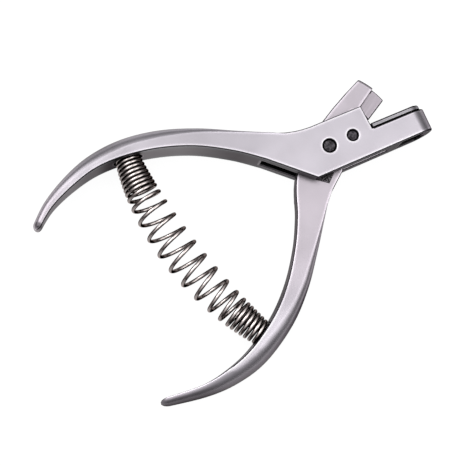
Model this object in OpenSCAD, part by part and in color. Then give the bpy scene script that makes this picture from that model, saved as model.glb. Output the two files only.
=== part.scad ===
// Spring-return hand punch with one blade: a cast frame that is handle, head and lower jaw in one,
// a cast lever that crosses it on a pivot pin, and a barrel spring that holds the handles apart.
// It lies flat: the pivot axis is Z, the lower jaw runs along +X and the jaws open towards +Y.

/* [Head] */
// Thickness of the head across its two flat faces
head_t = 14.6; // [14.5:0.1:17]
// Height of the head, square to the lower jaw
head_h = 18.2; // [17.6:0.2:21]
// Pivot axis to the front face of the head
head_front = 17.3; // [17:0.1:17.5]
// Pivot axis to the bottom corner of the head, towards the handles
heel_back = 8.8; // [8:0.2:11]
// Gap between the lever and each cheek of the head
lever_clear = 0.15; // [0.1:0.01:0.4]

/* [Lower jaw] */
// Pivot axis to the tip of the lower jaw
jaw_reach = 39.7; // [38:0.1:46]
// Radius of the upright corners of the jaw's tip
nose_r = 6.8; // [2:0.1:7]
// Gap between the blade and each wall of the slot in the jaw
jaw_clear = 0.2; // [0.15:0.01:0.5]
// Start of the solid web under the jaw
web_start = 21.5; // [21:0.1:24]
// Length of the solid web under the jaw
web_l = 5; // [3:0.1:5.5]
// Height of the solid web under the jaw
web_h = 3.2; // [2:0.2:4]
// Solid wall in front of the chip window, at the tip of the jaw
nose_wall = 3.7; // [3:0.1:5]
// Thickness of the walls beside the chip window
window_wall = 2.2; // [1.8:0.1:3]
// Height of the chip window
window_h = 4.9; // [3:0.1:5.2]

/* [Die plate] */
// Thickness of the die plate
die_t = 2; // [1.6:0.1:2.6]
// Gap between the front of the head and the die plate
die_gap = 0.4; // [0.2:0.1:0.8]
// Margin of jaw that shows round the die plate
die_inset = 1; // [0.6:0.1:1.4]
// Gap round the blade in the die opening
die_clear = 0.15; // [0.12:0.01:0.3]
// Diameter of the die rivets
die_rivet_d = 1.8; // [1.2:0.1:2]
// Depth of the die rivets below the top of the jaw
die_rivet_depth = 3.2; // [2:0.1:3.8]
// Distance of the die rivets from the middle plane
die_rivet_side = 3.9; // [3.2:0.1:4.5]

/* [Pins] */
// Diameter of the pivot pin
pivot_d = 4.8; // [4:0.1:6]
// Diameter of the stop pin
stop_d = 4; // [3:0.1:4.2]
// Gap between the hub of the lever and the stop pin
stop_gap = 0.5; // [0.4:0.1:1]
// Depth of the pin ends below the faces of the head
pin_recess = 0.4; // [0:0.1:1]
// Radial clearance of the lever on the pivot pin
running_clear = 0.05; // [0.02:0.01:0.1]

/* [Lever] */
// Thickness of the arm and shank of the lever
arm_t = 5.6; // [4.6:0.1:5.7]
// Radius of the lever's hub round the pivot
hub_r = 7; // [6:0.1:7.2]
// Length of arm past the front edge of the blade
arm_over = 0.2; // [0.1:0.1:2]
// Angle that the lever closes through
close_angle = 20; // [18:0.5:20]

/* [Blade] */
// Thickness of the blade
blade_t = 2.6; // [2:0.1:2.7]
// Gap between the front of the head and the back edge of the blade
blade_gap = 2.3; // [2:0.1:3]
// Length of the blade from its back edge to its front edge
blade_l = 9.4; // [8:0.1:10.4]
// Diameter of the blade rivets
blade_rivet_d = 1.6; // [1.2:0.1:1.8]

/* [Handles] */
// Pivot axis to the tip of the frame's handle, along the jaw
frame_grip_reach = 107.4; // [90:0.2:135]
// Pivot axis to the tip of the lever's handle, along the jaw
lever_grip_reach = 91.4; // [80:0.2:115]

/* [Spring] */
// Wire diameter
wire_d = 1.4; // [1:0.05:1.4]
// Outside diameter of the spring at its ends
spring_end_d = 9; // [8:0.1:9.4]
// Outside diameter of the spring at its middle
spring_mid_d = 14.4; // [11:0.1:14.4]
// Turns wound close at the frame's end
frame_end_turns = 8.4; // [6.4:0.5:9.4]
// Turns wound close at the lever's end
lever_end_turns = 6.4; // [4.4:0.5:8.4]
// Turns of the open middle
open_turns = 11.2; // [9.2:0.5:12.2]
// Gap between the close turns at the frame's end
frame_end_gap = 0.1; // [0.05:0.01:0.4]
// Gap between the close turns at the lever's end
lever_end_gap = 0.34; // [0.05:0.01:0.6]
// Depth of the seats sunk in the handles
seat_depth = 1.6; // [1:0.1:2]
// Gap round the spring in its seats
seat_clear = 0.4; // [0.2:0.1:0.6]

/* [Hidden] */
eps = 0.01;
mid_z = head_t / 2;
top_y = head_h / 2;
jaw_y = 0;
press_gap = 0.01;
contact_gap = 0.15;
swing_gap = 0.4;
lever_slot_w = arm_t + 2 * lever_clear;
jaw_slot_w = blade_t + 2 * jaw_clear;
stop_reach = hub_r + stop_gap + stop_d / 2;
blade_in = head_front + blade_gap;
blade_out = blade_in + blade_l;
arm_reach = blade_out + arm_over;
nose_x = jaw_reach - nose_r;
mouth_back = -6;
slot_back = [-24, 5.2];
slot_roof = 7.6;
stop_angle = 1.8;
flank_low = [1.7, -0.7 - top_y];
flank_top_angle = atan2(flank_low[1], flank_low[0]) + acos(hub_r / norm(flank_low));
flank_top = polar(hub_r, flank_top_angle);
arm_edge_angle = close_angle + 11.5;
arm_edge_drop = 1.18;
arm_top_angle = close_angle + 21.3;
arm_low_angle = close_angle + 2.5;
arm_low_r = head_front - 0.3;
blade_front_angle = close_angle - 2.3;
blade_back_angle = close_angle - 7.9;
blade_dip = blade_in * sin(close_angle - blade_back_angle);
tail_r = stop_reach + stop_d / 2 + contact_gap + 0.95;
tail_angle = close_angle + 4.6;
tail_step_angle = close_angle + 8;
tail_rise = 1.4;
socket_r = blade_out - 1.4;
web_end = web_start + web_l;
window_l = jaw_reach - nose_wall - web_end;
slot_end = blade_out + 2 * die_clear + 0.5;

// Grip rows: [along / reach, rise, width, thickness / head thickness, outer rounding]
frame_rows = [
    [-0.194, 8.6, 10, 1, 0.4], [-0.282, 14.43, 7.8, 1, 0.9], [-0.3955, 21.15, 7.2, 1, 2.3],
    [-0.512, 25.83, 7.55, 1, 4], [-0.6285, 27.91, 7.2, 1, 4.3], [-0.739, 27.41, 6.1, 0.95, 4.1],
    [-0.837, 24.35, 4.95, 0.76, 3], [-0.9305, 19.4, 3.6, 0.56, 2], [-1, 13.25, 2.8, 0.42, 1.8]];
lever_rows = [
    [-0.145, -15.46, 11.6, arm_t / head_t, 0.3], [-0.18, -21.13, 10, arm_t / head_t + 0.02, 0.9],
    [-0.244, -30.3, 8.7, 0.44, 2.2], [-0.335, -40.98, 8.15, 0.6, 3.5], [-0.443, -50.07, 7.85, 0.85, 5],
    [-0.582, -57.57, 7.25, 1, 6], [-0.707, -60.8, 6, 1, 5.3], [-0.831, -61.4, 4.35, 0.75, 3.9],
    [-0.997, -59.2, 3, 0.5, 2.6]];
frame_seat_u = 4;
lever_seat_u = 4.54;
grip_steps = 8;
arc_steps = 7;
tip_steps = 7;
tip_u = 0.28;

function unit(v) = v / norm(v);
function turned(v, a) = [v[0] * cos(a) - v[1] * sin(a), v[0] * sin(a) + v[1] * cos(a)];
function polar(r, a) = [r * cos(a), r * sin(a)];
function arc(r, a0, a1, n) = [for (i = [0:n]) polar(r, a0 + (a1 - a0) * i / n)];

// A smooth curve through the rows; u counts rows from 0
function along(rows, u) =
    let (n = len(rows) - 1, i = min(floor(u), n - 1), f = u - i,
        a = rows[max(i - 1, 0)], b = rows[i], c = rows[i + 1], d = rows[min(i + 2, n)])
    0.5 * (2 * b + (c - a) * f + (2 * a - 5 * b + 4 * c - d) * pow(f, 2)
        + (3 * b - 3 * c + d - a) * pow(f, 3));
function grip_row(rows, reach, u) =
    let (q = along(rows, u)) [q[0] * reach, q[1], q[2], min(q[3], 1) * head_t, q[4]];
function centre(rows, reach, u) = let (q = grip_row(rows, reach, u)) [q[0], q[1]];
function heading(rows, reach, u) =
    unit(centre(rows, reach, min(u + 0.02, len(rows) - 1)) - centre(rows, reach, max(u - 0.02, 0)));

// Which side of the heading is the outside of the handle: 1 is left, -1 is right
function outward(rows, reach, u, side) = turned(heading(rows, reach, u), 90 * side);
function rail(rows, reach, u, side, in_or_out) =
    centre(rows, reach, u)
    + outward(rows, reach, u, side) * grip_row(rows, reach, u)[2] / 2 * in_or_out;

// Flat inner face, flat sides and an outer face rounded into both of them
function grip_section(w, t, r) =
    let (rz = min(1.3 * r, 0.47 * t)) concat(
    [[-w / 2, -t / 2]],
    [for (i = [0:arc_steps]) [w / 2 - r + r * sin(90 * i / arc_steps),
        -t / 2 + rz * (1 - cos(90 * i / arc_steps))]],
    [for (i = [0:arc_steps]) [w / 2 - r + r * cos(90 * i / arc_steps),
        t / 2 - rz * (1 - sin(90 * i / arc_steps))]],
    [[-w / 2, t / 2]]);
function tip_scale(u, last) = let (k = max(0, (u - last + tip_u) / tip_u)) sqrt(1.04 - k * k);
function grip_ring(rows, reach, u, side) =
    let (last = len(rows) - 1, q = grip_row(rows, reach, u), o = outward(rows, reach, u, side),
        s = min(1, tip_scale(u, last)), w = q[2] * s, t = q[3] * (0.55 + 0.45 * s),
        r = min(q[4] * s, w * 0.92))
    [for (p = grip_section(w, t, r)) [q[0] + o[0] * p[0], q[1] + o[1] * p[0], mid_z + p[1]]];

// Closes a stack of rings, each with the same number of points, into one skin
module skin(rings, flip) {
    n = len(rings[0]);
    m = len(rings) - 1;
    sides = [for (j = [0:m - 1], i = [0:n - 1], h = [0:1]) let (k = (i + 1) % n)
        h == 0 ? [j * n + i, j * n + k, (j + 1) * n + k] : [j * n + i, (j + 1) * n + k, (j + 1) * n + i]];
    caps = [[for (i = [n - 1:-1:0]) i], [for (i = [0:n - 1]) m * n + i]];
    faces = concat(sides, caps);
    polyhedron([for (ring = rings, p = ring) p], flip ? [for (f = faces) [for (i = [len(f) - 1:-1:0]) f[i]]]
        : faces, convexity = 6);
}

module grip(rows, reach, side, flip) {
    last = len(rows) - 1;
    us = concat([for (i = [0:grip_steps * last - 3]) i / grip_steps],
        [for (i = [0:tip_steps]) last - tip_u * (1 - sin(90 * i / tip_steps))]);
    skin([for (u = us) grip_ring(rows, reach, u, side)], flip);
}

// A cylinder sunk into the inner face of a handle, for the end of the spring
module spring_seat(rows, reach, u, side) {
    p = rail(rows, reach, u, side, -1);
    o = outward(rows, reach, u, side);
    translate([p[0], p[1], mid_z]) rotate([0, 0, atan2(o[1], o[0])]) rotate([0, 90, 0])
        translate([0, 0, -4]) cylinder(d = spring_end_d + 2 * seat_clear, h = 4 + seat_depth, $fn = 64);
}

function frame_rail(u, in_or_out) = rail(frame_rows, frame_grip_reach, u, -1, in_or_out);
function lever_rail(u, in_or_out) = rail(lever_rows, lever_grip_reach, u, 1, in_or_out);

module frame_plan() {
    polygon(concat(
        [[head_front - 0.5, top_y], [head_front, jaw_y], [jaw_reach, jaw_y], [jaw_reach, 0.5 - top_y],
            [-heel_back, -top_y]],
        [for (u = [0, 0.1]) frame_rail(u, -1)],
        [for (u = [0.1, 0]) frame_rail(u, 1)],
        [for (i = [1:5]) let (k = i / 6, a = frame_rail(0, 1), b = [-10.5, top_y - 0.5], c = [0, top_y])
            (1 - k) * (1 - k) * a + 2 * k * (1 - k) * b + k * k * c],
        [[0, top_y]]));
}

// The space that the lever swings in, seen square to the pivot axis
module swing_space() {
    s = unit(flank_top - flank_low);
    g = [s[1], -s[0]] * contact_gap;
    back = turned([1, 0], 45);
    linear_extrude(lever_slot_w) {
        circle(hub_r + swing_gap, $fn = 96);
        polygon([slot_back - 4 * back, slot_back + 3.1 * back, [mouth_back, slot_roof], [0, 0],
            flank_top + g, flank_low - 4 * s + g, [-12, -top_y - 6], [-30, -4]]);
        polygon([[mouth_back, 0], [mouth_back, top_y + 4], [head_front + 1, top_y + 4],
            [head_front + 1, jaw_y], [0, jaw_y]]);
    }
}

module jaw_slots() {
    z0 = mid_z - jaw_slot_w / 2;
    translate([flank_low[0], -top_y - 1, z0]) cube([web_start - flank_low[0], top_y + 2, jaw_slot_w]);
    translate([web_start - eps, web_h - top_y, z0]) cube([slot_end - web_start, top_y, jaw_slot_w]);
    translate([web_end, -top_y - 1, window_wall])
        cube([window_l, window_h + 1, head_t - 2 * window_wall]);
}

// Upright cylinders that round the two corners at the tip of the jaw or of the die plate
module tip_corners(x, r, side_gap, y0, h) {
    for (z = [side_gap + r, head_t - side_gap - r])
        translate([x - r, y0, z]) rotate([-90, 0, 0]) cylinder(r = r, h = h, $fn = 64);
}

module nose_round() {
    difference() {
        translate([nose_x, -top_y - 1, -1]) cube([jaw_reach, head_h, head_t + 2]);
        tip_corners(jaw_reach, nose_r, 0, -top_y - 2, head_h + 4);
        translate([nose_x - 1, -top_y - 2, nose_r]) cube([nose_r + 1, head_h + 4, head_t - 2 * nose_r]);
    }
}

module through_pin(d, x, y, recess) {
    translate([x, y, recess]) cylinder(d = d, h = head_t - 2 * recess, $fn = 64);
}

module frame() {
    color([0.8, 0.79, 0.82]) difference() {
        union() {
            linear_extrude(head_t) frame_plan();
            grip(frame_rows, frame_grip_reach, -1, false);
        }
        translate([0, 0, mid_z - lever_slot_w / 2]) swing_space();
        jaw_slots();
        nose_round();
        through_pin(pivot_d, 0, 0, -1);
        stop = polar(stop_reach, stop_angle);
        through_pin(stop_d, stop[0], stop[1], -1);
        for (x = die_rivet_x, s = [-1, 1]) die_rivet_at(x, s, press_gap);
        spring_seat(frame_rows, frame_grip_reach, frame_seat_u, -1);
    }
}

// Point on a line along the arm, up from the line through the pivot axis by rise
function arm_line(t, rise) = turned([t, rise], arm_edge_angle);
function arm_line_at_r(r, rise) = arm_line(sqrt(r * r - rise * rise), rise);

module lever_plan() {
    edge_out = arm_line_at_r(arm_reach, -arm_edge_drop);
    edge_in = arm_line_at_r(arm_low_r, -arm_edge_drop);
    back = lever_rail(0, -1);
    crown = polar(arm_reach, arm_top_angle);
    polygon(concat(
        [flank_top, flank_low, [-5.4, -15.3]],
        [for (u = [0, 0.1]) lever_rail(u, 1)],
        [for (u = [0.1, 0]) lever_rail(u, -1)],
        [for (i = [1:11]) let (k = i / 12, m = 1 - k)
            m * m * m * back + 3 * m * m * k * [-15.2, -4] + 3 * m * k * k * [-9.5, 6.2] + k * k * k * crown],
        arc(arm_reach, arm_top_angle, atan2(edge_out[1], edge_out[0]), 6),
        [edge_in, polar(arm_low_r, arm_low_angle), [0, 0]]));
    circle(hub_r, $fn = 96);
}

// The blade: a sector that swings about the pivot, with a tail that is riveted into the arm
module blade_plan(grow) {
    shoulder = arm_line_at_r(blade_out + grow, -arm_edge_drop);
    polygon(concat(
        [arm_line(tail_r - grow, tail_rise + grow), arm_line_at_r(socket_r + grow, tail_rise + grow),
            arm_line_at_r(socket_r + grow, -arm_edge_drop)],
        arc(blade_out + grow, atan2(shoulder[1], shoulder[0]), blade_front_angle, 6),
        arc(blade_in - grow, blade_back_angle, tail_step_angle, 6),
        [polar(arm_low_r + 0.01, tail_step_angle), polar(arm_low_r + 0.01, tail_angle),
            polar(tail_r - grow, tail_angle)]));
}

function blade_rivet_at(i) =
    i == 0 ? polar(tail_r + 1.6, close_angle + 10.4) : polar(tail_r + 4.2, close_angle + 11);
module blade_rivet(i) {
    p = blade_rivet_at(i);
    color([0.55, 0.54, 0.56]) translate([p[0], p[1], mid_z - arm_t / 2])
        cylinder(d = blade_rivet_d, h = arm_t, $fn = 32);
}

module lever() {
    color([0.78, 0.77, 0.8]) difference() {
        union() {
            translate([0, 0, mid_z - arm_t / 2]) linear_extrude(arm_t) lever_plan();
            grip(lever_rows, lever_grip_reach, 1, true);
        }
        through_pin(pivot_d + 2 * running_clear, 0, 0, -1);
        notch = polar(stop_reach, stop_angle + close_angle);
        through_pin(stop_d + 2 * contact_gap, notch[0], notch[1], -1);
        translate([0, 0, mid_z - blade_t / 2 - press_gap])
            linear_extrude(blade_t + 2 * press_gap) blade_plan(0.03);
        for (i = [0, 1]) through_pin(blade_rivet_d + 2 * press_gap, blade_rivet_at(i)[0],
            blade_rivet_at(i)[1], -1);
        spring_seat(lever_rows, lever_grip_reach, lever_seat_u, 1);
    }
}

module blade() {
    color([0.72, 0.71, 0.74]) difference() {
        translate([0, 0, mid_z - blade_t / 2]) linear_extrude(blade_t) blade_plan(0);
        for (i = [0, 1]) through_pin(blade_rivet_d + 2 * press_gap, blade_rivet_at(i)[0],
            blade_rivet_at(i)[1], -1);
    }
}

die_back = head_front + die_gap;
die_rivet_x = [die_back + 2.6, nose_x - 0.4];
module die_rivet_at(x, side, grow) {
    translate([x, jaw_y - die_rivet_depth - grow, mid_z + side * die_rivet_side]) rotate([-90, 0, 0])
        cylinder(d = die_rivet_d + 2 * grow, h = die_rivet_depth + die_t + grow, $fn = 32);
}
module die_rivet(x, side) {
    color([0.6, 0.6, 0.62]) die_rivet_at(x, side, 0);
}

module die_plate() {
    w = blade_t + 2 * die_clear;
    r = nose_r - die_inset;
    tip = jaw_reach - die_inset;
    back = sqrt(pow(blade_in, 2) - pow(blade_dip, 2)) - die_clear;
    color([0.7, 0.7, 0.72]) difference() {
        union() {
            translate([die_back, jaw_y, die_inset])
                cube([tip - r - die_back, die_t, head_t - 2 * die_inset]);
            translate([nose_x - 1, jaw_y, die_inset + r])
                cube([tip - nose_x + 1, die_t, head_t - 2 * (die_inset + r)]);
            tip_corners(tip, r, die_inset, jaw_y, die_t);
        }
        translate([back, jaw_y - 1, mid_z - w / 2]) cube([blade_out + die_clear - back, die_t + 2, w]);
        for (x = die_rivet_x, s = [-1, 1]) die_rivet_at(x, s, press_gap);
    }
}

module pivot_pin() {
    color([0.3, 0.3, 0.31]) through_pin(pivot_d - 2 * press_gap, 0, 0, pin_recess);
}

module stop_pin() {
    p = polar(stop_reach, stop_angle);
    color([0.3, 0.3, 0.31]) through_pin(stop_d - 2 * press_gap, p[0], p[1], pin_recess);
}

// The spring's axis runs from seat to seat and leaves each seat square to it
spring_lift = wire_d / 2 + 0.1 - seat_depth;
easing = 3;
frame_seat_in = outward(frame_rows, frame_grip_reach, frame_seat_u, -1);
lever_seat_in = outward(lever_rows, lever_grip_reach, lever_seat_u, 1);
spring_a = frame_rail(frame_seat_u, -1) - frame_seat_in * spring_lift;
spring_b = lever_rail(lever_seat_u, -1) - lever_seat_in * spring_lift;
spring_span = norm(spring_b - spring_a);
spring_out = frame_seat_in * -spring_span;
spring_in = lever_seat_in * spring_span;
spring_turns = frame_end_turns + open_turns + lever_end_turns;
frame_pitch = (wire_d + frame_end_gap) / spring_span;
lever_pitch = (wire_d + lever_end_gap) / spring_span;
open_pitch = frame_pitch + (1 - spring_turns * frame_pitch
    - (lever_pitch - frame_pitch) * (lever_end_turns + easing / 2)) / (open_turns - easing);
function axis_at(k) =
    (2 * pow(k, 3) - 3 * pow(k, 2) + 1) * spring_a + (pow(k, 3) - 2 * pow(k, 2) + k) * spring_out
    + (3 * pow(k, 2) - 2 * pow(k, 3)) * spring_b + (pow(k, 3) - pow(k, 2)) * spring_in;
function eased(turn) = let (t = max(turn, 0)) t < easing ? t * t / (2 * easing) : t - easing / 2;
function axis_share(turn) =
    frame_pitch * turn + (open_pitch - frame_pitch) * eased(turn - frame_end_turns)
    + (lever_pitch - open_pitch) * eased(turn + easing - spring_turns + lever_end_turns);
function coil_r(k) =
    (spring_end_d + (spring_mid_d - spring_end_d) * pow(max(sin(180 * k), 0), 0.8) - wire_d) / 2;
function coil_out(turn) =
    let (k = axis_share(turn), d = unit(axis_at(min(k + 0.01, 1)) - axis_at(max(k - 0.01, 0))),
        a = 360 * (turn - first_turn))
    [-d[1] * cos(a), d[0] * cos(a), sin(a)];
function coil_at(turn) =
    let (k = axis_share(turn), a = axis_at(k)) [a[0], a[1], mid_z] + coil_r(k) * coil_out(turn);
first_turn = 0.7;
rings_per_turn = 12;
wire_sides = 8;

module spring() {
    n = round(spring_turns * rings_per_turn);
    color([0.76, 0.74, 0.73]) skin([for (i = [0:n]) let (t = i / rings_per_turn, p = coil_at(t),
        ahead = unit(coil_at(t + 0.01) - coil_at(t - 0.01)),
        across = unit(cross(ahead, coil_out(t))), up = cross(across, ahead))
        [for (j = [0:wire_sides - 1]) p + wire_d / 2 * (up * cos(360 * j / wire_sides)
            + across * sin(360 * j / wire_sides))]], false);
}

frame();
lever();
blade();
blade_rivet(0);  // blade_rivet_inner
blade_rivet(1);  // blade_rivet_outer
die_plate();
die_rivet(die_rivet_x[0], -1);  // die_rivet_back_low
die_rivet(die_rivet_x[0], 1);  // die_rivet_back_high
die_rivet(die_rivet_x[1], -1);  // die_rivet_front_low
die_rivet(die_rivet_x[1], 1);  // die_rivet_front_high
pivot_pin();
stop_pin();
spring();
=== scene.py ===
"""Looks of the spring-return hand punch: satin castings, ground blade and die, dark pins, plated spring.

Lengths are in metres, in the tool's own frame: the pivot's axis is Z through the origin, the lower jaw
points along +X, and the tool lies on its lower flat faces at z = 0.
"""
import bmesh
import bpy
import numpy as np
from mathutils import Matrix, Vector
from mathutils.bvhtree import BVHTree


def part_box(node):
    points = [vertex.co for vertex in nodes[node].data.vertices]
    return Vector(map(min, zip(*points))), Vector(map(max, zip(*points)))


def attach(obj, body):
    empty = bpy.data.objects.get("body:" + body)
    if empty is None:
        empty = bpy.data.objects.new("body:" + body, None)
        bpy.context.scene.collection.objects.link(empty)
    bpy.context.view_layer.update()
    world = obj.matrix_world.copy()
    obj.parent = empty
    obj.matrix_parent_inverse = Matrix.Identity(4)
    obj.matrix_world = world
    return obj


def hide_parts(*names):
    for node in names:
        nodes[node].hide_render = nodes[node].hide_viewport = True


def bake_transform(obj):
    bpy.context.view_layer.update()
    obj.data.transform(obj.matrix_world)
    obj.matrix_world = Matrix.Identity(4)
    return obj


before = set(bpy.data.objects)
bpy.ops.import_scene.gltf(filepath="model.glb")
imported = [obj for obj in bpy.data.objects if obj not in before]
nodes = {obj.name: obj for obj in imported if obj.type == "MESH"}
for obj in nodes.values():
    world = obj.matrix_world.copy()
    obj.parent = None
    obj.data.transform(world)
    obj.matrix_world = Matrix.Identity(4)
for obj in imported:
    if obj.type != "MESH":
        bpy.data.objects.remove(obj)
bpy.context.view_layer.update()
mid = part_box("frame")[1].z / 2
die_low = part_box("die_plate")[0]


# ---------------------------------------------------------------- meshes

def new_piece(name, points, faces, smooth=True):
    """A mesh object from an array of points and lists of corner numbers."""
    mesh = bpy.data.meshes.new(name)
    corners = np.asarray(points, float).reshape(-1, 3)
    mesh.from_pydata(corners.tolist(), [], [list(map(int, f)) for f in faces])
    mesh.update()
    mesh.polygons.foreach_set("use_smooth", np.full(len(mesh.polygons), smooth))
    piece = bpy.data.objects.new(name, mesh)
    bpy.context.scene.collection.objects.link(piece)
    return piece


def tube_faces(rings, corners):
    """Quads between rings of corners, with one flat face closing each end.

    Corner k of ring i is number i * corners + k, and the corner after the last one is the first.
    """
    i, k = np.meshgrid(np.arange(rings - 1), np.arange(corners), indexing="ij")
    n = (k + 1) % corners
    sides = np.stack([i * corners + k, i * corners + n, (i + 1) * corners + n, (i + 1) * corners + k], -1)
    first = list(range(corners))[::-1]
    last = list(range((rings - 1) * corners, rings * corners))
    return sides.reshape(-1, 4).tolist() + [first, last]


def turned(name, profile, corners=96):
    """A turned piece on the Z axis: (r cos a, r sin a, z) for each (r, z) of the profile, a once round."""
    r, z = np.array(profile, float).T
    a = np.linspace(0, 2 * np.pi, corners, endpoint=False)
    points = np.stack([r[:, None] * np.cos(a), r[:, None] * np.sin(a), z[:, None] + 0 * a], -1)
    return new_piece(name, points, tube_faces(len(r), corners))


def crisp(piece, angle=32):
    """Shades a piece smooth except across edges sharper than the angle."""
    work = bmesh.new()
    work.from_mesh(piece.data)
    for edge in work.edges:
        edge.smooth = not (len(edge.link_faces) == 2 and edge.calc_face_angle(0) > np.radians(angle))
    for face in work.faces:
        face.smooth = True
    work.to_mesh(piece.data)
    work.free()


def numbers(items, field, width=1, kind=float):
    """One field of every item, as an array."""
    values = np.empty(len(items) * width, kind)
    items.foreach_get(field, values)
    return values.reshape(-1, width) if width > 1 else values


def room(edge, sharp):
    """How wide an edge can be rounded before the rounding meets the far end of an edge beside it."""
    ahead = (edge.verts[1].co - edge.verts[0].co).normalized()
    widest = 1.0
    for corner in edge.verts:
        runs_on = sum(other in sharp for other in corner.link_edges) > 1
        for other in corner.link_edges:
            line = other.other_vert(corner).co - corner.co
            across = line.cross(ahead).length
            if other is not edge and not (runs_on and across < 0.4 * line.length):
                widest = min(widest, 0.45 * across)
    return widest


def baked(piece):
    """Turns a piece's modifiers into plain mesh."""
    bpy.context.view_layer.update()
    made = bpy.data.meshes.new_from_object(piece.evaluated_get(bpy.context.evaluated_depsgraph_get()))
    piece.modifiers.clear()
    piece.data = made
    return made


def cleaned(node, name, edge, merge, angle):
    """A node's mesh with coincident corners merged, and a weight on each edge sharper than the angle.

    The weight is the share of the rounding that the edge has room for, or 1 where no merge is given.
    """
    mesh = nodes[node].data.copy()
    mesh.name = name
    mesh.materials.clear()
    work = bmesh.new()
    work.from_mesh(mesh)
    bmesh.ops.remove_doubles(work, verts=work.verts, dist=merge or 2e-6)
    bmesh.ops.dissolve_limit(work, angle_limit=np.radians(0.05), verts=work.verts, edges=work.edges)
    work.normal_update()
    work.edges.index_update()
    sharp = {e for e in work.edges if len(e.link_faces) == 2 and e.calc_face_angle(0) > np.radians(angle)}
    weight = np.zeros(len(work.edges))
    for e in sharp:
        weight[e.index] = min(1.0, room(e, sharp) / edge) if merge else 1.0
    work.to_mesh(mesh)
    work.free()
    mesh.attributes.new("bevel_weight_edge", "FLOAT", "EDGE").data.foreach_set("value", weight)
    return mesh


def softened(node, name, edge, inside=None, merge=None, angle=34):
    """A copy of a CAD node with its sharp edges rounded.

    Corners that a rounding throws off the node's own skin are put back on it. The rounded faces are
    marked "edge", and the faces that inside(x, y, z, upright) finds get a second mark, for the near-black
    painted shade of the slots.
    """
    mesh = cleaned(node, name, edge, merge, angle)
    piece = bpy.data.objects.new(name, mesh)
    bpy.context.scene.collection.objects.link(piece)
    mesh.materials.append(None)
    mesh.materials.append(None)
    skin = BVHTree.FromPolygons([v.co for v in mesh.vertices], [list(f.vertices) for f in mesh.polygons])
    bevel = piece.modifiers.new("edge", "BEVEL")
    bevel.width = edge
    bevel.segments = 4
    bevel.limit_method = "WEIGHT"
    bevel.use_clamp_overlap = False
    bevel.loop_slide = merge is None
    bevel.material = 1
    final = baked(piece)
    for corner in final.vertices:
        nearest, _, _, off = skin.find_nearest(corner.co)
        if off > 0.35 * edge:
            corner.co = nearest
    final.polygons.foreach_set("use_smooth", np.ones(len(final.polygons), bool))
    even = piece.modifiers.new("even", "WEIGHTED_NORMAL")
    even.weight = 100
    even.keep_sharp = True
    final = baked(piece)
    rounded = numbers(final.polygons, "material_index", kind=np.int32) == 1
    final.attributes.new("edge", "FLOAT", "FACE").data.foreach_set("value", rounded.astype(float))
    final.polygons.foreach_set("material_index", np.zeros(len(final.polygons), np.int32))
    cast = np.zeros(len(final.polygons))
    if inside is not None:
        upright = abs(numbers(final.polygons, "normal", 3)[:, 2])
        cast[:] = inside(*numbers(final.polygons, "center", 3).T, upright)
    final.attributes.new("cast", "FLOAT", "FACE").data.foreach_set("value", cast)
    return piece


# ---------------------------------------------------------------- shader helpers

def material(name, colour, metallic, roughness):
    """A node material with its Principled shader, ready for links."""
    made = bpy.data.materials.new(name)
    made.use_nodes = True
    shader = made.node_tree.nodes["Principled BSDF"]
    shader.inputs["Base Color"].default_value = (*colour, 1)
    shader.inputs["Metallic"].default_value = metallic
    shader.inputs["Roughness"].default_value = roughness
    return made, made.node_tree, shader


def add(tree, kind, **settings):
    """A new node with its settings."""
    made = tree.nodes.new(kind)
    for key, value in settings.items():
        setattr(made, key, value)
    return made


def number(tree, operation, first, second):
    """One Math node; each side is a link or a plain number."""
    made = add(tree, "ShaderNodeMath", operation=operation)
    for socket, value in zip(made.inputs, (first, second)):
        if isinstance(value, (int, float)):
            socket.default_value = value
        else:
            tree.links.new(value, socket)
    return made.outputs[0]


def all_of(tree, share, *others):
    """Where every share holds: their product."""
    for other in others:
        share = number(tree, "MULTIPLY", share, other)
    return share


def mapped(tree, source, start, end, low, high, kind="LINEAR"):
    """Low where the source is at start, high where it is at end, and never past either."""
    made = add(tree, "ShaderNodeMapRange", interpolation_type=kind)
    for name, value in (("From Min", start), ("From Max", end), ("To Min", low), ("To Max", high)):
        made.inputs[name].default_value = value
    tree.links.new(source, made.inputs["Value"])
    return made.outputs[0]


def stretch(tree, source, start, end, low=0.0, high=1.0):
    """A smooth step from low at start to high at end."""
    return mapped(tree, source, start, end, low, high, "SMOOTHSTEP")


def spread(tree, source, low, high):
    """A noise's usual range, from low to high."""
    return mapped(tree, source, 0.3, 0.7, low, high)


def ramp(tree, source, stops):
    """Colour stops along a 0 to 1 value."""
    made = add(tree, "ShaderNodeValToRGB")
    elements = made.color_ramp.elements
    while len(elements) < len(stops):
        elements.new(0.5)
    for element, (place, colour) in zip(elements, stops):
        element.position = place
        element.color = (*colour, 1)
    tree.links.new(source, made.inputs["Fac"])
    return made.outputs["Color"]


def blend(tree, share, first, second):
    """From one colour to another."""
    made = add(tree, "ShaderNodeMix", data_type="RGBA")
    tree.links.new(share, made.inputs["Factor"])
    tree.links.new(first, made.inputs["A"])
    tree.links.new(second, made.inputs["B"])
    return made.outputs["Result"]


def shaded(tree, colour, amount):
    """Multiplies a colour by a value or by another colour."""
    made = add(tree, "ShaderNodeMix", data_type="RGBA", blend_type="MULTIPLY")
    made.inputs["Factor"].default_value = 1
    tree.links.new(colour, made.inputs["A"])
    tree.links.new(amount, made.inputs["B"])
    return made.outputs["Result"]


def dimmed(tree, colour, share, amount):
    """Multiplies a colour by an amount where the share is 1, and leaves it where the share is 0."""
    return shaded(tree, colour, stretch(tree, share, 0, 1, 1, amount))


def along(tree, vector, direction):
    """A vector's length along a direction."""
    made = add(tree, "ShaderNodeVectorMath", operation="DOT_PRODUCT")
    made.inputs[1].default_value = Vector(direction).normalized()
    tree.links.new(vector, made.inputs[0])
    return made.outputs["Value"]


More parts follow.
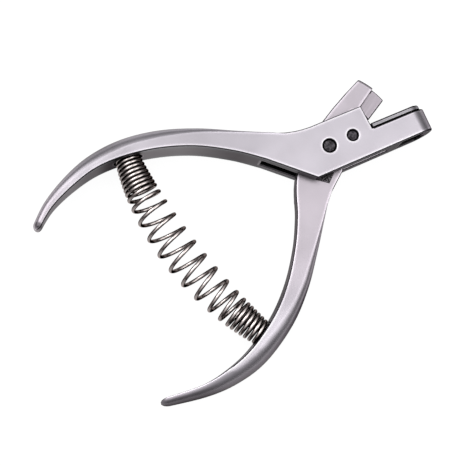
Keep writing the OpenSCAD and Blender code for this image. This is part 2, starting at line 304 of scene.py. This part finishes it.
def squarely(tree, direction):
    """How squarely a surface faces along a direction or against it, 0 to 1."""
    geometry = add(tree, "ShaderNodeNewGeometry")
    return number(tree, "ABSOLUTE", along(tree, geometry.outputs["Normal"], direction), 0)


def facing(tree):
    """How squarely a surface faces along the pivot's axis, 0 to 1."""
    return squarely(tree, (0, 0, 1))


def measure(tree, point, direction):
    """How far a place on the tool lies from a point, along a direction."""
    place = add(tree, "ShaderNodeTexCoord")
    moved = add(tree, "ShaderNodeVectorMath", operation="SUBTRACT")
    moved.inputs[1].default_value = point
    tree.links.new(place.outputs["Object"], moved.inputs[0])
    return along(tree, moved.outputs[0], direction)


def away(tree, point):
    """Distance from an upright line through a point."""
    place = add(tree, "ShaderNodeTexCoord")
    level = add(tree, "ShaderNodeVectorMath", operation="MULTIPLY")
    level.inputs[1].default_value = (1, 1, 0)
    made = add(tree, "ShaderNodeVectorMath", operation="DISTANCE")
    made.inputs[1].default_value = (*point, 0)
    tree.links.new(place.outputs["Object"], level.inputs[0])
    tree.links.new(level.outputs[0], made.inputs[0])
    return made.outputs["Value"]


def mark(tree, name):
    """The value that a mesh carries under a name."""
    return add(tree, "ShaderNodeAttribute", attribute_name=name).outputs["Fac"]


def edge_highlight(tree, reach, gain):
    """1 in the middle of a face, rising to the gain along its edges: a painted highlight where the gain is
    over 1.
    """
    rounded = add(tree, "ShaderNodeBevel", samples=6)
    rounded.inputs["Radius"].default_value = reach
    true = add(tree, "ShaderNodeNewGeometry")
    made = add(tree, "ShaderNodeVectorMath", operation="DOT_PRODUCT")
    tree.links.new(rounded.outputs[0], made.inputs[0])
    tree.links.new(true.outputs["Normal"], made.inputs[1])
    return stretch(tree, made.outputs["Value"], 1.0, 0.988, 1, gain)


def hollow_shade(tree, reach, low):
    """How open a place is to its surroundings, from low in a tight corner to 1 in the open: painted shade in
    corners.
    """
    open_air = add(tree, "ShaderNodeAmbientOcclusion", samples=12)
    open_air.inputs["Distance"].default_value = reach
    return mapped(tree, open_air.outputs["AO"], 0.2, 0.62, low, 1)


def noise(tree, scale, lengths=(1, 1, 1), turn=0, detail=3):
    """Noise on Object coordinates, in features per metre, drawn out along a turned axis."""
    place = add(tree, "ShaderNodeTexCoord")
    mapping = add(tree, "ShaderNodeMapping", vector_type="TEXTURE")
    mapping.inputs["Rotation"].default_value[2] = np.radians(turn)
    mapping.inputs["Scale"].default_value = lengths
    tree.links.new(place.outputs["Object"], mapping.inputs["Vector"])
    made = add(tree, "ShaderNodeTexNoise")
    made.inputs["Scale"].default_value = scale
    made.inputs["Detail"].default_value = detail
    tree.links.new(mapping.outputs[0], made.inputs["Vector"])
    return made.outputs["Fac"]


def bump(tree, shader, height, strength, distance):
    """Fine relief from a height."""
    made = add(tree, "ShaderNodeBump")
    made.inputs["Strength"].default_value = strength
    made.inputs["Distance"].default_value = distance
    tree.links.new(height, made.inputs["Height"])
    tree.links.new(made.outputs[0], shader.inputs["Normal"])


def coat(tree, shader, tone, gain=1.6):
    """Sets a metal's colour, and darkens its glancing reflection where the colour is dark."""
    tree.links.new(tone, shader.inputs["Base Color"])
    more = add(tree, "ShaderNodeMix", data_type="RGBA", blend_type="MULTIPLY", clamp_result=True)
    more.inputs["Factor"].default_value = 1
    more.inputs["B"].default_value = (gain, gain, gain, 1)
    tree.links.new(tone, more.inputs["A"])
    tree.links.new(more.outputs["Result"], shader.inputs["Specular Tint"])


# ---------------------------------------------------------------- satin castings

# Centres of the wide and the tight shade by the spring's seat in the fixed handle, and that handle's tip.
behind_seat = (-0.0765, 0.0225)
beside_seat = (-0.0727, 0.024)
frame_tip = (-0.1058, 0.0142)
# Where the end face of the lever's arm starts, from the pivot's axis.
arm_end_radius = 0.0281
# The lines round the painted shadow on the lever's heel: a point of each, and the direction inwards.
heel_lines = (((-0.0080, -0.0097, 0), (0.615, 0.79, 0)),
              ((-0.0036, -0.0112, 0), (-0.66, 0.75, 0)),
              ((0, -0.0088, 0), (0, -1, 0)))


def warm_grey(value):
    """The castings' slightly violet grey."""
    return (value * 1.045, value * 0.985, value * 1.07)


def plain_grey(value):
    """The grey of the upright walls."""
    return (value * 1.01, value, value * 1.02)


def casting_measures(tree):
    """What the castings' shades are worked out from: how a face lies, and where it is on the tool."""
    face = facing(tree)
    return {
        "face": face,
        "flat": stretch(tree, face, 0.4, 0.7),
        "forward": measure(tree, (0, 0, 0), (1, 0, 0)),
        "upper": stretch(tree, measure(tree, (0, 0, 0), (0, 1, 0)), 0.004, 0.01),
        "down": measure(tree, (0, 0, 0), (0, -1, 0)),
        "rise": number(tree, "ABSOLUTE", measure(tree, (0, 0, mid), (0, 0, 1)), 0)}


def facing_shade(tree, at):
    """Painted light and shade by how a face lies: pale flats, darker walls, a wider dark band on the fixed
    handle's back.
    """
    tone = ramp(tree, at["face"], [
        (0.0, plain_grey(0.35)), (0.06, plain_grey(0.37)), (0.3, plain_grey(0.44)), (0.5, warm_grey(0.38)),
        (0.74, warm_grey(0.3)), (0.9, warm_grey(0.28)), (0.95, warm_grey(0.31)), (0.972, warm_grey(0.38)),
        (0.986, warm_grey(0.5)), (0.996, warm_grey(0.6)), (1.0, warm_grey(0.61))])
    broad = ramp(tree, at["face"], [
        (0.0, plain_grey(0.34)), (0.3, plain_grey(0.46)), (0.74, warm_grey(0.4)), (0.93, warm_grey(0.31)),
        (0.98, warm_grey(0.31)), (0.99, warm_grey(0.42)), (0.996, warm_grey(0.58)), (1.0, warm_grey(0.6))])
    fixed_handle = all_of(tree, stretch(tree, at["forward"], -0.028, -0.048), at["upper"])
    return blend(tree, fixed_handle, tone, broad)


def handle_light_and_shade(tree, tone, at):
    """Painted light and shade: darker fixed handle, brighter moving one with dark outer side and point, dark
    walls in front.
    """
    forward, face, down = at["forward"], at["face"], at["down"]
    tone = dimmed(tree, tone, all_of(tree, stretch(tree, forward, -0.012, -0.05), at["upper"]), 0.86)
    fixed_flat = all_of(tree, stretch(tree, forward, -0.006, -0.03), at["upper"],
                        stretch(tree, face, 0.985, 0.996))
    tone = dimmed(tree, tone, fixed_flat, 0.87)
    tone = shaded(tree, tone, stretch(tree, down, 0.028, 0.045, 1, 1.12))
    outer_side = all_of(tree, stretch(tree, down, 0.03, 0.05), stretch(tree, face, 0.85, 0.5))
    tone = dimmed(tree, tone, outer_side, 0.5)
    point = all_of(tree, stretch(tree, down, 0.045, 0.055), stretch(tree, forward, -0.062, -0.082),
                   stretch(tree, face, 0.97, 0.9))
    tone = dimmed(tree, tone, point, 0.62)
    for start, end, amount in ((-0.052, -0.03, 0.62), (-0.012, 0.012, 0.75)):
        front = stretch(tree, forward, start, end, 1, amount)
        tone = shaded(tree, tone, number(tree, "MAXIMUM", front, at["flat"]))
    return tone


def edge_light_and_shade(tree, tone, at):
    """Painted shade and highlight: rounded edges dark on a wall and bright on a flat, black slots, bright
    rims.

    The faces that lie between the head's cheeks are slightly darker, a painted shade, and the whole is
    faintly mottled.
    """
    # Painted shade and highlight on the rounded edges: dark on walls, a bright line where they meet a flat.
    line = ramp(tree, at["face"], [
        (0.0, warm_grey(0.12)), (0.3, warm_grey(0.05)), (0.85, warm_grey(0.045)), (0.95, warm_grey(0.25)),
        (0.985, warm_grey(0.8)), (1.0, warm_grey(0.59))])
    # Near-black painted shade in the slots of the head and the jaw.
    slots = ramp(tree, at["face"], [(0, warm_grey(0.04)), (1, warm_grey(0.02))])
    tone = blend(tree, mark(tree, "edge"), tone, line)
    tone = blend(tree, mark(tree, "cast"), tone, slots)
    # Painted highlight along the edges of every face.
    tone = shaded(tree, tone, edge_highlight(tree, 0.0015, 1.6))
    # Painted shade, slightly darker and pinker, on the faces between the head's cheeks.
    recessed = ramp(tree, stretch(tree, at["rise"], 0.003, 0.0068), [(0, (0.93, 0.9, 0.905)), (1, (1, 1, 1))])
    tone = shaded(tree, tone, recessed)
    return shaded(tree, tone, spread(tree, noise(tree, 45), 0.95, 1.04))


def spring_shadow(tree, tone, at):
    """The dimmer stretch of the fixed handle round the spring's seat, darkest on the wall."""
    tone = shaded(tree, tone, stretch(tree, away(tree, behind_seat), 0.006, 0.015, 0.8, 1))
    near = stretch(tree, away(tree, beside_seat), 0.0015, 0.0085, 0.62, 1)
    return shaded(tree, tone, number(tree, "MAXIMUM", near, at["flat"]))


def heel_shadow(tree, tone, at):
    """Painted shadow, coarsely mottled, on the lever's heel, inside three lines and between the head's
    cheeks.
    """
    heel = None
    for point, direction in heel_lines:
        inward = measure(tree, point, direction)
        heel = inward if heel is None else number(tree, "MINIMUM", heel, inward)
    heel = all_of(tree, stretch(tree, heel, 0, 0.0003), stretch(tree, at["rise"], 0.0045, 0.004))
    shadow_mottle = stretch(tree, noise(tree, 2600, detail=2), 0.45, 0.62, 0.02, 0.3)
    return shaded(tree, tone, number(tree, "MAXIMUM", number(tree, "SUBTRACT", 1.0, heel), shadow_mottle))


def end_shades(tree, tone, at):
    """Painted shade: the darker end of the lever's arm, the black seat under the die plate, the fixed
    handle's tip.
    """
    past_arm = stretch(tree, away(tree, (0, 0)), arm_end_radius, arm_end_radius + 0.0004)
    arm_end = all_of(tree, past_arm, at["upper"], stretch(tree, at["forward"], 0, 0.001),
                     stretch(tree, at["rise"], 0.0045, 0.004))
    tone = dimmed(tree, tone, arm_end, 0.3)
    over_seat = stretch(tree, measure(tree, (0, die_low.y, 0), (0, 1, 0)), -0.0008, -0.0005)
    seat = all_of(tree, over_seat, stretch(tree, at["forward"], die_low.x - 0.0003, die_low.x),
                  stretch(tree, at["rise"], 0.004, 0.0045), stretch(tree, at["face"], 0.1, 0.5))
    tone = dimmed(tree, tone, seat, 0.06)
    return shaded(tree, tone, stretch(tree, away(tree, frame_tip), 0.0006, 0.0016, 0.25, 1))


def cast_satin():
    """Satin metal of the castings with painted light and shade: pale flats, darker walls, black in the slots.
    """
    made, tree, shader = material("cast_satin", warm_grey(0.6), 1, 0.34)
    at = casting_measures(tree)
    tone = facing_shade(tree, at)
    for shade in (handle_light_and_shade, edge_light_and_shade, spring_shadow, heel_shadow, end_shades):
        tone = shade(tree, tone, at)
    # Painted shade in the hollows, multiplied into the colour.
    coat(tree, shader, shaded(tree, tone, hollow_shade(tree, 0.005, 0.05)))
    tree.links.new(spread(tree, noise(tree, 90), 0.3, 0.38), shader.inputs["Roughness"])
    bump(tree, shader, noise(tree, 2200, detail=4), 0.05, 0.0001)
    return made


# ---------------------------------------------------------------- steels

def ground(name, colour, turn, roughness=0.3):
    """Ground steel with fine scratches along one line, turned from X by an angle in degrees."""
    made, tree, shader = material(name, colour, 1, roughness)
    scratch = noise(tree, 1500, lengths=(25, 1, 1), turn=turn, detail=4)
    # Painted light and shade: darker walls, a bright line where the flats end, dark rounded edges, shaded
    # hollows.
    tone = ramp(tree, facing(tree), [
        (level, tuple(share * c for c in colour))
        for level, share in ((0.0, 0.8), (0.4, 0.7), (0.85, 0.6), (0.985, 1.1), (0.998, 1.0))])
    tone = shaded(tree, tone, edge_highlight(tree, 0.0008, 1.4))
    tone = dimmed(tree, tone, mark(tree, "edge"), 0.1)
    tone = shaded(tree, tone, spread(tree, scratch, 0.9, 1.05))
    coat(tree, shader, shaded(tree, tone, hollow_shade(tree, 0.0025, 0.04)), 2)
    tree.links.new(spread(tree, scratch, roughness - 0.04, roughness + 0.08), shader.inputs["Roughness"])
    bump(tree, shader, scratch, 0.05, 0.0001)
    return made


def dark_pin():
    """Dark pin steel with a mottled, slightly worn end."""
    made, tree, shader = material("pin_steel", (0.08, 0.076, 0.083), 1, 0.4)
    # Painted shade: the rounded shoulder is near black, a dark ring round the pin's end.
    tone = ramp(tree, facing(tree), [
        (0.0, (0.004, 0.0035, 0.004)), (0.93, (0.007, 0.006, 0.007)), (0.985, (0.055, 0.05, 0.056))])
    worn = stretch(tree, noise(tree, 1300, detail=5), 0.35, 0.7, 0.5, 2.0)
    tree.links.new(shaded(tree, tone, worn), shader.inputs["Base Color"])
    tree.links.new(spread(tree, noise(tree, 900), 0.35, 0.5), shader.inputs["Roughness"])
    bump(tree, shader, noise(tree, 1500, detail=3), 0.2, 0.0002)
    return made


def plated_wire():
    """Bright plated spring wire: painted shade in its flanks and between its turns, painted light at the
    turns' two bends.
    """
    made, tree, shader = material("spring_plated", (0.55, 0.53, 0.53), 1, 0.2)
    tone = ramp(tree, facing(tree), [
        (0.0, (0.025, 0.019, 0.018)), (0.5, (0.06, 0.048, 0.045)), (0.72, (0.2, 0.165, 0.155)),
        (0.86, (0.5, 0.44, 0.42)), (0.96, (0.85, 0.77, 0.74))])
    # Painted light: paler wire at the turns' two bends.
    bend_light = stretch(tree, squarely(tree, (0.864, 0.675, 0)), 0.5, 0.85)
    pale = ramp(tree, facing(tree), [(0.0, (0.5, 0.46, 0.45)), (0.6, (0.2, 0.175, 0.17))])
    tone = blend(tree, bend_light, tone, pale)
    tone = shaded(tree, tone, spread(tree, noise(tree, 160), 0.92, 1.05))
    coat(tree, shader, shaded(tree, tone, hollow_shade(tree, 0.0016, 0.06)), 1.3)
    tree.links.new(spread(tree, noise(tree, 300), 0.14, 0.22), shader.inputs["Roughness"])
    return made


satin = cast_satin()
blade_steel = ground("blade_steel", (0.5, 0.45, 0.495), 31.5)
die_steel = ground("die_steel", (0.42, 0.405, 0.43), 0)
pin_steel = dark_pin()
wire = plated_wire()


# ---------------------------------------------------------------- castings, blade and die

# Widths of the rounded edges, how far back the head's slot starts, and the margin under the outer faces.
casting_edge, blade_edge = 0.00055, 0.0004
slot_back, cheek_skin = -0.028, 0.0004


def dress(piece, body, slot, finish, *stands_for):
    """Gives a piece its finish and body, and lets it stand for its CAD node."""
    piece.data.materials.clear()
    piece.data.materials.append(finish)
    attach(piece, body)
    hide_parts(*stands_for)


def head_slots(x, y, z, upright):
    """The faces in the slots of the head and the jaw, where near-black shade is painted."""
    return (x > slot_back) & (abs(z - mid) < mid - cheek_skin) & (upright > 0.98)


casting = softened("frame", "frame_casting", casting_edge, inside=head_slots, merge=4e-5)
dress(casting, "frame", "cast_satin", satin, "frame")
casting = softened("lever", "lever_casting", casting_edge, merge=4e-6)
dress(casting, "lever", "cast_satin", satin, "lever")
dress(softened("blade", "blade_ground", blade_edge), "lever", "blade_steel", blade_steel, "blade")
dress(softened("die_plate", "die_ground", casting_edge), "frame", "die_steel", die_steel, "die_plate")


# ---------------------------------------------------------------- pins and rivets

# The first and last ring of a turned piece, small enough to read as a point.
point_radius = 1e-5


def pin(node, name, body, crown, shoulder):
    """A pin along Z: flat ends with a slight crown, a rounded shoulder and a plain shank.

    The crown rises by crown * (1 - s * s) at s of the way out to the shoulder. The shoulder is a quarter
    of an ellipse, 1.4 times as deep as it is wide.
    """
    low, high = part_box(node)
    centre = (low + high) / 2
    radius = (high.x - low.x) / 2
    land = radius - shoulder
    s = np.linspace(0, 1, 7)
    turn = s[1:] * np.pi / 2
    end_r = np.concatenate([[point_radius], land * s[1:], land + shoulder * np.sin(turn)])
    end_z = np.concatenate([crown * (1 - s ** 2), -1.4 * shoulder * (1 - np.cos(turn))])
    top = np.stack([end_r, high.z - crown + end_z], 1)
    bottom = np.stack([end_r, low.z + crown - end_z], 1)
    piece = turned(name, np.concatenate([bottom, top[::-1]]))
    piece.data.transform(Matrix.Translation((centre.x, centre.y, 0)))
    crisp(piece)
    dress(piece, body, "pin_steel", pin_steel, node)


def die_rivet(node, rim=0.00012):
    """A rivet along Y, flush with the die plate: a plain shank whose rim is a quarter of a circle."""
    low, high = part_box(node)
    centre = (low + high) / 2
    radius = (high.x - low.x) / 2
    turn = np.linspace(0, 1, 5)[1:] * np.pi / 2
    r = np.concatenate([[point_radius, radius, radius], radius - rim + rim * np.cos(turn), [point_radius]])
    y = np.concatenate([[low.y, low.y, high.y - rim], high.y - rim + rim * np.sin(turn), [high.y]])
    piece = turned(node + "_end", np.stack([r, y], 1), 48)
    piece.data.transform(Matrix.Rotation(-np.pi / 2, 4, "X"))
    piece.data.transform(Matrix.Translation((centre.x, 0, centre.z)))
    crisp(piece)
    dress(piece, "frame", "die_steel", die_steel, node)


pin("pivot_pin", "pivot_end", "frame", 0.00008, 0.0005)
pin("stop_pin", "stop_end", "frame", 0.00008, 0.00042)
for rivet in ("blade_rivet_inner", "blade_rivet_outer"):
    pin(rivet, rivet + "_head", "lever", 0.00003, 0.0001)
for rivet in ("back_low", "back_high", "front_low", "front_high"):
    die_rivet("die_rivet_" + rivet)


# ---------------------------------------------------------------- spring

# The wire, the coil's diameter at its ends and how much wider it is in the middle.
wire_r = 0.0007
end_d, middle_swell = 0.009, 0.0054
# Each seat on its handle, with the direction in which the axis leaves the first and reaches the second.
seat_a, leave_a = np.array([-0.06768, 0.02512]), np.array([-0.0646, -0.9979])
seat_b, reach_b = np.array([-0.04878, -0.05191]), np.array([0.5033, -0.8641])
# All the turns, the close ones at each end, and those over which the pitch changes.
turns, close_a, close_b, easing = 26.0, 8.4, 6.4, 3.0
start_turn = 0.7
# Pitches as shares of the span. The open pitch is the one with which the turns fill it.
span = np.linalg.norm(seat_b - seat_a)
pitch_a, pitch_b = 0.0015 / span, 0.00174 / span
closed_share = turns * pitch_a + (pitch_b - pitch_a) * (close_b + easing / 2)
pitch = pitch_a + (1 - closed_share) / (turns - close_a - close_b - easing)


def eased(t):
    """0, then a parabola over the easing turns, then a straight rise of 1 per turn."""
    t = np.maximum(t, 0)
    return np.where(t < easing, t * t / (2 * easing), t - easing / 2)


def axis_at(k):
    """The cubic that leaves one seat square to it at k = 0 and meets the other square to it at k = 1.

    It is the Hermite curve: each seat and each direction times its own cubic in k.
    """
    k = k[:, None]
    return ((2 * k ** 3 - 3 * k ** 2 + 1) * seat_a + (k ** 3 - 2 * k ** 2 + k) * leave_a * span
            + (3 * k ** 2 - 2 * k ** 3) * seat_b + (k ** 3 - k ** 2) * reach_b * span)


def coil_line(turn):
    """The wire's centre line and its direction away from the spring's axis, at a count of turns.

    The share k of the way along the axis rises by the close pitch at each end and by the open pitch
    between them. The coil's radius swells with sin(pi k) to the power 0.8.
    """
    k = (pitch_a * turn + (pitch - pitch_a) * eased(turn - close_a)
         + (pitch_b - pitch) * eased(turn + easing + close_b - turns))
    ahead = axis_at(k + 0.01) - axis_at(k - 0.01)
    ahead /= np.linalg.norm(ahead, axis=1)[:, None]
    swell = np.maximum(np.sin(np.pi * k), 0) ** 0.8
    radius = (end_d + middle_swell * swell) / 2 - wire_r
    a = 2 * np.pi * (turn - start_turn)
    out = np.stack([-ahead[:, 1] * np.cos(a), ahead[:, 0] * np.cos(a), np.sin(a)], 1)
    centre = axis_at(k)
    line = np.stack([centre[:, 0], centre[:, 1], np.full(len(k), mid)], 1) + radius[:, None] * out
    return line, out


def spring_wire(steps=40, corners=16):
    """A round wire swept along the coil line, its ends drawn in to a small flat.

    Each ring is centre + wire_r * (lift cos a + across sin a), square to the line.
    """
    t = np.linspace(0, turns, int(turns * steps) + 1)
    line, out = coil_line(t)
    ahead = coil_line(t + 0.004)[0] - coil_line(t - 0.004)[0]
    ahead /= np.linalg.norm(ahead, axis=1)[:, None]
    across = np.cross(ahead, out)
    across /= np.linalg.norm(across, axis=1)[:, None]
    lift = np.cross(across, ahead)
    a = np.linspace(0, 2 * np.pi, corners, endpoint=False)
    wall = wire_r * (lift[:, None] * np.cos(a)[:, None] + across[:, None] * np.sin(a)[:, None])
    size = np.ones(len(t))
    size[[0, -1]] = 0.7
    piece = new_piece("spring_wire", line[:, None] + wall * size[:, None, None], tube_faces(len(t), corners))
    crisp(piece, 60)
    return piece


spring = spring_wire()
spring.data.materials.append(wire)
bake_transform(spring)
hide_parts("spring")


# ---------------------------------------------------------------- floor, light and camera

def pale_floor(half=6, drop=0.00002):
    """A matt floor just under the tool that holds its shadow and shows white in itself and in metal."""
    floor = new_piece("floor", [(-half, -half, 0), (half, -half, 0), (half, half, 0), (-half, half, 0)],
                      [(0, 1, 2, 3)], False)
    floor.location.z = -drop
    pale, tree, shader = material("floor_pale", (0.12, 0.12, 0.12), 0, 0.9)
    shader.inputs["Specular IOR Level"].default_value = 0
    path = add(tree, "ShaderNodeLightPath")
    seen = number(tree, "MAXIMUM", path.outputs["Is Camera Ray"], path.outputs["Is Glossy Ray"])
    seen = number(tree, "MAXIMUM", seen, path.outputs["Is Transmission Ray"])
    shader.inputs["Emission Color"].default_value = (1, 1, 1, 1)
    tree.links.new(number(tree, "MULTIPLY", seen, 0.94), shader.inputs["Emission Strength"])
    floor.data.materials.append(pale)


def studio():
    """A plain grey room, paler overhead and on the side of the key lamp."""
    world = bpy.data.worlds.new("studio")
    bpy.context.scene.world = world
    world.use_nodes = True
    tree = world.node_tree
    background = tree.nodes["Background"]
    place = add(tree, "ShaderNodeTexCoord")
    split = add(tree, "ShaderNodeSeparateXYZ")
    tree.links.new(place.outputs["Generated"], split.inputs[0])
    sky = ramp(tree, split.outputs["Z"], [
        (0.0, (0.3, 0.3, 0.31)), (0.35, (0.45, 0.45, 0.46)), (0.75, (0.95, 0.95, 0.97)), (1.0, (1, 1, 1))])
    side = add(tree, "ShaderNodeVectorMath", operation="DOT_PRODUCT")
    side.inputs[1].default_value = (-0.5, 0.85, 0)
    tree.links.new(place.outputs["Generated"], side.inputs[0])
    lean = mapped(tree, side.outputs["Value"], -1, 1, 0.6, 1.4)
    tree.links.new(shaded(tree, sky, lean), background.inputs["Color"])
    background.inputs["Strength"].default_value = 0.85


def softbox(name, place, size, watts, aim=(-0.03, 0, 0)):
    """A square lamp that points at the tool."""
    lamp = bpy.data.lights.new(name, "AREA")
    lamp.size = size
    lamp.energy = watts
    made = bpy.data.objects.new(name, lamp)
    made.location = place
    made.rotation_euler = (Vector(aim) - Vector(place)).to_track_quat("-Z", "Y").to_euler()
    bpy.context.scene.collection.objects.link(made)


def place_camera(place, toward, roll, lens):
    """The scene's camera at a place, with toward pointing back at it from the tool, rolled in degrees."""
    camera = bpy.data.objects.new("camera", bpy.data.cameras.new("camera"))
    camera.data.lens = lens
    camera.data.clip_start = 0.01
    back = Vector(toward).normalized()
    right = Vector((np.cos(np.radians(roll)), -np.sin(np.radians(roll)), 0))
    right = (right - back * right.dot(back)).normalized()
    turn = Matrix((right, back.cross(right), back)).transposed().to_4x4()
    camera.matrix_world = Matrix.Translation(place) @ turn
    bpy.context.scene.collection.objects.link(camera)
    bpy.context.scene.camera = camera


pale_floor()
studio()
softbox("key", (-0.4, 0.5, 1.0), 0.8, 5)
softbox("fill", (0.6, -0.3, 0.9), 0.7, 2)
place_camera((-0.1124, -0.0593, 0.388), (-0.18, -0.1175, 1), 23, 84.5)
bpy.context.scene.view_settings.view_transform = "Standard"
